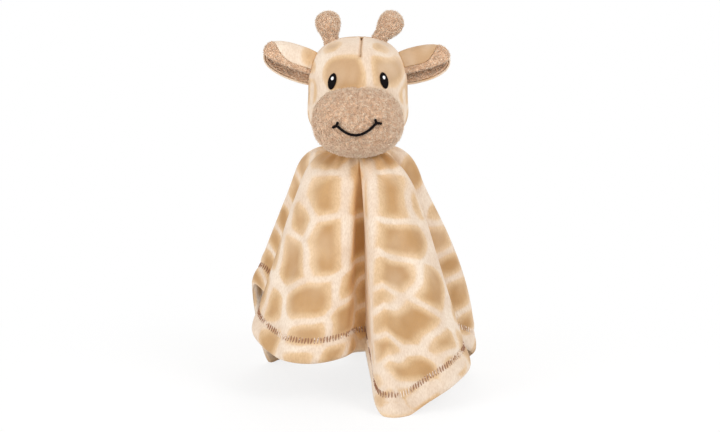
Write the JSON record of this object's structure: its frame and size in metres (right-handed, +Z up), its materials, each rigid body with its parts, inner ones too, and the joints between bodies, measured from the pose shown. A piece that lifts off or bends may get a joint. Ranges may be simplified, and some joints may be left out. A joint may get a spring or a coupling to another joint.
{
  "type": "comfort blanket lovey",
  "caption": "Square comfort blanket in two layers of printed velour, gathered under a stuffed giraffe head with a fleece muzzle, cupped ears and knobs.",
  "frame": {"origin": "middle of the bounding box at the floor the blanket's corners stand on", "axes": "+Z up, the face looks along -Y, +X is the viewer's right"},
  "size_m": [0.199, 0.2216, 0.3206],
  "materials": {
    "blanket_outer": "printed velour",
    "blanket_lining": "velour",
    "hem_zigzag_stitch": "thread",
    "neck_seam_thread": "thread",
    "neck_gather": "velour",
    "neck_closing_patch": "velour",
    "head_face_cover": "printed velour",
    "head_back_cover": "printed velour",
    "head_stuffing": "fibre",
    "muzzle_cover": "fleece",
    "muzzle_stuffing": "fibre",
    "mouth_embroidery": "thread",
    "eye_left_embroidery": "satin stitch",
    "eye_left_highlight": "satin stitch",
    "ear_left_outer": "printed velour",
    "ear_left_lining": "fleece",
    "ossicone_left_cover": "fleece",
    "ossicone_left_stuffing": "fibre",
    "eye_right_embroidery": "satin stitch",
    "eye_right_highlight": "satin stitch",
    "ear_right_outer": "printed velour",
    "ear_right_lining": "fleece",
    "ossicone_right_cover": "fleece",
    "ossicone_right_stuffing": "fibre"
  },
  "bodies": {
    "blanket": {"blanket_outer": "blanket_outer", "blanket_lining": "blanket_lining", "hem_zigzag_stitch": "hem_zigzag_stitch", "neck_seam_thread": "neck_seam_thread"},
    "neck": {"neck_gather": "neck_gather"},
    "head": {"head_face_cover": "head_face_cover", "head_back_cover": "head_back_cover", "head_stuffing": "head_stuffing", "neck_closing_patch": "neck_closing_patch", "muzzle_cover": "muzzle_cover", "muzzle_stuffing": "muzzle_stuffing", "mouth_embroidery": "mouth_embroidery", "eye_left_embroidery": "eye_left_embroidery", "eye_left_highlight": "eye_left_highlight", "eye_right_embroidery": "eye_right_embroidery", "eye_right_highlight": "eye_right_highlight"},
    "ear_left": {"ear_left_outer": "ear_left_outer", "ear_left_lining": "ear_left_lining"},
    "ear_right": {"ear_right_outer": "ear_right_outer", "ear_right_lining": "ear_right_lining"},
    "ossicone_left": {"ossicone_left_cover": "ossicone_left_cover", "ossicone_left_stuffing": "ossicone_left_stuffing"},
    "ossicone_right": {"ossicone_right_cover": "ossicone_right_cover", "ossicone_right_stuffing": "ossicone_right_stuffing"}
  },
  "joints": [
    {"name": "head_turn", "type": "hinge", "parent": "blanket", "child": "neck", "pos_m": [-0.00244, -0.00196, 0.20464], "axis": [0, 0, 1], "range_deg": [-30, 30], "stiffness_Nm_per_rad": 0.3},
    {"name": "head_nod", "type": "hinge", "parent": "neck", "child": "head", "pos_m": [-0.00244, -0.00196, 0.21614], "axis": [1, 0, 0], "range_deg": [-16, 2], "stiffness_Nm_per_rad": 0.6, "springref_deg": -1.15},
    {"name": "ear_left_flap", "type": "hinge", "parent": "head", "child": "ear_left", "pos_m": [-0.04434, 0.00004, 0.27198], "axis": [0.2498, 0, 0.9683], "range_deg": [-30, 30], "stiffness_Nm_per_rad": 0.01},
    {"name": "ear_right_flap", "type": "hinge", "parent": "head", "child": "ear_right", "pos_m": [0.03946, 0.00004, 0.27198], "axis": [0.2498, 0, -0.9683], "range_deg": [-30, 30], "stiffness_Nm_per_rad": 0.01},
    {"name": "ossicone_left_bend", "type": "hinge", "parent": "head", "child": "ossicone_left", "pos_m": [-0.0249, 0.00004, 0.29396], "axis": [0.9119, 0, 0.4104], "range_deg": [-20, 20], "stiffness_Nm_per_rad": 0.02},
    {"name": "ossicone_right_bend", "type": "hinge", "parent": "head", "child": "ossicone_right", "pos_m": [0.01553, 0.00004, 0.29561], "axis": [0.9596, 0, -0.2813], "range_deg": [-20, 20], "stiffness_Nm_per_rad": 0.02}
  ]
}
